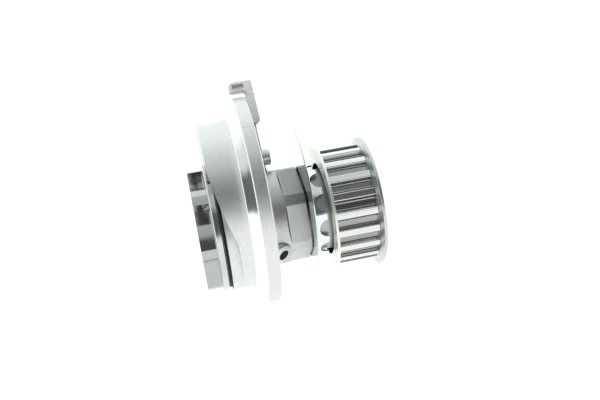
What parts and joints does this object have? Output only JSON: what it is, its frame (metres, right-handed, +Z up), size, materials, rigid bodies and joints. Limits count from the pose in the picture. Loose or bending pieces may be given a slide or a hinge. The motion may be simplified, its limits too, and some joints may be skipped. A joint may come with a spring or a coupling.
{
  "type": "automotive water pump",
  "caption": "Coolant pump with an open impeller in a round flanged casting, wrench flats, a thin dust shield and a toothed belt pulley on a shaft that turns.",
  "frame": {"origin": "on the pilot's axis, in the plane where the pilot meets its shoulder ring", "axes": "+X along the shaft towards the belt pulley, -X into the engine; +Z up towards the stop lug; the shaft is parallel to the pilot and 10.5 mm below it"},
  "size_m": [0.0895, 0.1042, 0.112],
  "materials": {
    "cast_aluminium": "fine-grained casting, machined bright on the pilot",
    "zinc_sheet": "bright zinc plate",
    "yellow_zinc": "pale yellow zinc plate",
    "pulley_steel": "sintered and tumbled steel",
    "turned_steel": "turned steel, circular lay",
    "impeller_metal": "bright plated metal",
    "ground_steel": "ground bearing steel",
    "bearing_steel": "polished bearing steel",
    "cage_plastic": "glass-filled nylon",
    "seal_rubber": "moulded nitrile rubber",
    "cup_brass": "pressed brass",
    "spring_steel": "drawn stainless wire",
    "carbon": "resin-bonded carbon, lapped face",
    "seat_ceramic": "lapped ceramic"
  },
  "bodies": {
    "housing": {"pump_housing": "cast_aluminium", "dust_shield": "zinc_sheet", "bearing_sleeve": "ground_steel", "rear_bearing_seal": "seal_rubber", "front_bearing_seal": "seal_rubber", "seal_cup": "cup_brass", "seal_bellows": "seal_rubber", "seal_retainer": "zinc_sheet", "seal_spring": "spring_steel", "seal_carbon_ring": "carbon"},
    "rotor": {"pump_shaft": "ground_steel", "belt_pulley": "pulley_steel", "pulley_rear_flange": "yellow_zinc", "pulley_front_flange": "turned_steel", "impeller": "impeller_metal", "seal_seat": "seat_ceramic", "seat_boot": "seal_rubber", "water_slinger": "seal_rubber"},
    "ball_set": {"ball_cage": "cage_plastic", "bearing_balls": "bearing_steel"},
    "roller_set": {"roller_cage": "cage_plastic", "bearing_rollers": "bearing_steel"}
  },
  "joints": [
    {"name": "rotor_spin", "type": "hinge", "parent": "housing", "child": "rotor", "pos_m": [0.02, 0, -0.0105], "axis": [1, 0, 0], "continuous": true},
    {"name": "ball_set_spin", "type": "hinge", "parent": "housing", "child": "ball_set", "pos_m": [0.02, 0, -0.0105], "axis": [1, 0, 0], "continuous": true},
    {"name": "roller_set_spin", "type": "hinge", "parent": "housing", "child": "roller_set", "pos_m": [0.02, 0, -0.0105], "axis": [1, 0, 0], "continuous": true}
  ],
  "couplings": [
    {"joint": "ball_set_spin", "follows": "rotor_spin", "ratio": 0.3527},
    {"joint": "roller_set_spin", "follows": "rotor_spin", "ratio": 0.3938}
  ]
}
